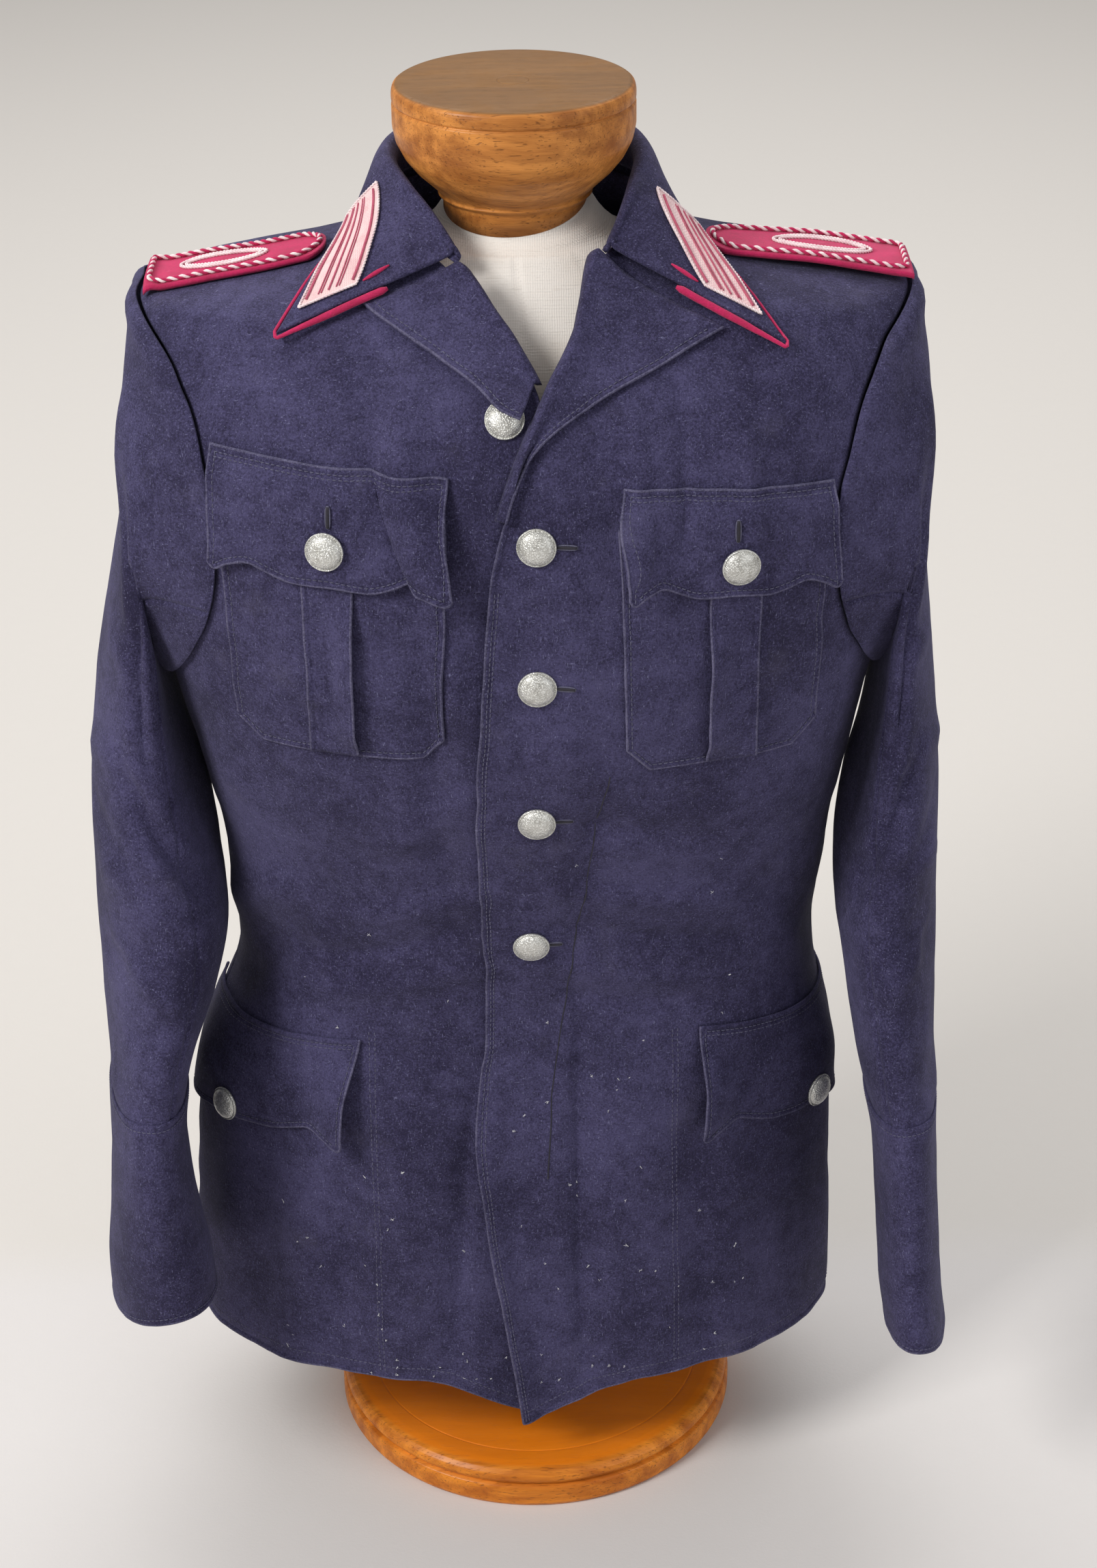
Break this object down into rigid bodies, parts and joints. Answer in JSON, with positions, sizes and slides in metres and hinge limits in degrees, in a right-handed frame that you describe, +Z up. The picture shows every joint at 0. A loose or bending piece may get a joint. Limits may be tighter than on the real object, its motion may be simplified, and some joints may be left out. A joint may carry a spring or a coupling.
{
  "type": "police tunic on dress form",
  "caption": "Hip-length uniform tunic with patch pockets, shaped flaps, shoulder boards and a piped collar, worn open at the neck on a limbless dress form with a wooden cap and base.",
  "frame": {"origin": "centre of the round base's underside, on the floor", "axes": "+Z up along the form's post, -Y to the front of the tunic, +X to the wearer's left"},
  "size_m": [0.563, 0.3179, 0.9554],
  "materials": {
    "wool": "matt navy wool twill",
    "felt": "matt magenta felt",
    "braid": "pale woven braid",
    "cord": "twisted cord",
    "metal": "pebbled satin",
    "wood": "clear varnish",
    "linen": "white linen cover",
    "post": "grey paint"
  },
  "bodies": {
    "root": {"back_left": "wool", "back_right": "wool", "board_cord_left": "cord", "board_cord_right": "cord", "chest_button_left": "metal", "chest_button_right": "metal", "chest_flap_left": "wool", "chest_flap_right": "wool", "chest_pocket_left": "wool", "chest_pocket_right": "wool", "collar": "wool", "collar_patch_left": "braid", "collar_patch_right": "braid", "collar_piping": "felt", "cuff_left": "wool", "cuff_right": "wool", "form_base": "wood", "form_neck_cap": "wood", "form_post": "post", "form_torso": "linen", "front_button_1": "metal", "front_button_2": "metal", "front_button_3": "metal", "front_button_4": "metal", "front_button_5": "metal", "front_left": "wool", "front_right": "wool", "lapel_left": "wool", "lapel_right": "wool", "lower_button_left": "metal", "lower_button_right": "metal", "lower_flap_left": "wool", "lower_flap_right": "wool", "pocket_pleat_left": "wool", "pocket_pleat_right": "wool", "shoulder_board_left": "felt", "shoulder_board_right": "felt", "sleeve_under_left": "wool", "sleeve_under_right": "wool", "sleeve_upper_left": "wool", "sleeve_upper_right": "wool"}
  },
  "joints": []
}
